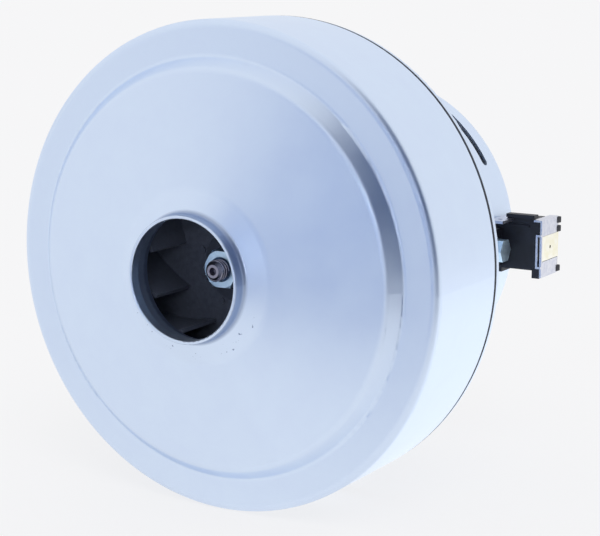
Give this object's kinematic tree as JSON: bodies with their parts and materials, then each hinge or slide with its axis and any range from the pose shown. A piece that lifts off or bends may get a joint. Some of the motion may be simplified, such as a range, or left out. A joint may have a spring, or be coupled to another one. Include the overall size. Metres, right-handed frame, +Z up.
{
  "type": "vacuum motor unit",
  "caption": "Vacuum cleaner motor with a fan stage in a round steel drum, an inlet collar at the front and a two-pole brush motor in a slotted frame behind it.",
  "frame": {"origin": "on the shaft, at the middle of the drum's straight side wall", "axes": "+Y along the shaft from the inlet to the rear bearing, +Z up with the brushes level at +X and -X"},
  "size_m": [0.135, 0.119, 0.135],
  "materials": {
    "drawn_steel": "satin, zinc plated",
    "zinc_plate": "bright zinc plated",
    "tinned_steel": "satin, tinned",
    "ground_steel": "ground",
    "bearing_steel": "polished",
    "lamination_steel": "stacked sheet edges",
    "dark_grey_plastic": "moulded, semi-gloss",
    "black_plastic": "moulded, satin",
    "white_nylon": "moulded, satin",
    "enamelled_copper": "enamelled wire",
    "copper": "turned",
    "brass": "sheet, satin",
    "carbon": "pressed carbon",
    "spring_steel": "drawn wire",
    "bearing_cage": "moulded"
  },
  "bodies": {
    "housing": {"fan_cover": "drawn_steel", "motor_frame": "drawn_steel", "front_bracket": "drawn_steel", "diffuser": "black_plastic", "diffuser_screws": "zinc_plate", "bracket_screws": "zinc_plate", "stator_core": "lamination_steel", "field_coil_upper": "enamelled_copper", "coil_insulator_upper": "white_nylon", "field_coil_lower": "enamelled_copper", "coil_insulator_lower": "white_nylon", "front_bearing_outer_ring": "bearing_steel", "front_bearing_shields": "tinned_steel", "rear_bearing_outer_ring": "bearing_steel", "rear_bearing_shields": "tinned_steel", "brush_holder_right": "black_plastic", "terminal_tab_right": "tinned_steel", "holder_clip_right": "tinned_steel", "brush_tube_right": "brass", "brush_spring_right": "spring_steel", "holder_screw_right": "zinc_plate", "brush_holder_left": "black_plastic", "terminal_tab_left": "tinned_steel", "holder_clip_left": "tinned_steel", "brush_tube_left": "brass", "brush_spring_left": "spring_steel", "holder_screw_left": "zinc_plate"},
    "rotor": {"shaft": "ground_steel", "impeller_wheel": "dark_grey_plastic", "impeller_shroud": "dark_grey_plastic", "impeller_washer": "zinc_plate", "impeller_nut": "zinc_plate", "impeller_spacer": "ground_steel", "front_bearing_inner_ring": "bearing_steel", "rear_bearing_inner_ring": "bearing_steel", "rotor_core": "lamination_steel", "armature_winding": "enamelled_copper", "shaft_sleeve": "white_nylon", "commutator_hub": "black_plastic", "commutator_bars": "copper"},
    "front_ball_set": {"front_bearing_balls": "bearing_steel", "front_bearing_cage": "bearing_cage"},
    "rear_ball_set": {"rear_bearing_balls": "bearing_steel", "rear_bearing_cage": "bearing_cage"},
    "right_brush": {"carbon_brush_right": "carbon"},
    "left_brush": {"carbon_brush_left": "carbon"}
  },
  "joints": [
    {"name": "rotor_spin", "type": "hinge", "parent": "housing", "child": "rotor", "pos_m": [0, 0, 0], "axis": [0, 1, 0], "continuous": true},
    {"name": "front_ball_spin", "type": "hinge", "parent": "housing", "child": "front_ball_set", "pos_m": [0, 0, 0], "axis": [0, 1, 0], "continuous": true},
    {"name": "rear_ball_spin", "type": "hinge", "parent": "housing", "child": "rear_ball_set", "pos_m": [0, 0, 0], "axis": [0, 1, 0], "continuous": true},
    {"name": "brush_slide_right", "type": "slide", "parent": "housing", "child": "right_brush", "axis": [1, 0, 0], "range_m": [0, 0.008], "stiffness_N_per_m": 150, "springref_m": -0.02, "deforming": ["brush_spring_right"]},
    {"name": "brush_slide_left", "type": "slide", "parent": "housing", "child": "left_brush", "axis": [-1, 0, 0], "range_m": [0, 0.008], "stiffness_N_per_m": 150, "springref_m": -0.02, "deforming": ["brush_spring_left"]}
  ],
  "couplings": [
    {"joint": "front_ball_spin", "follows": "rotor_spin", "ratio": 0.36767},
    {"joint": "rear_ball_spin", "follows": "rotor_spin", "ratio": 0.36767}
  ]
}
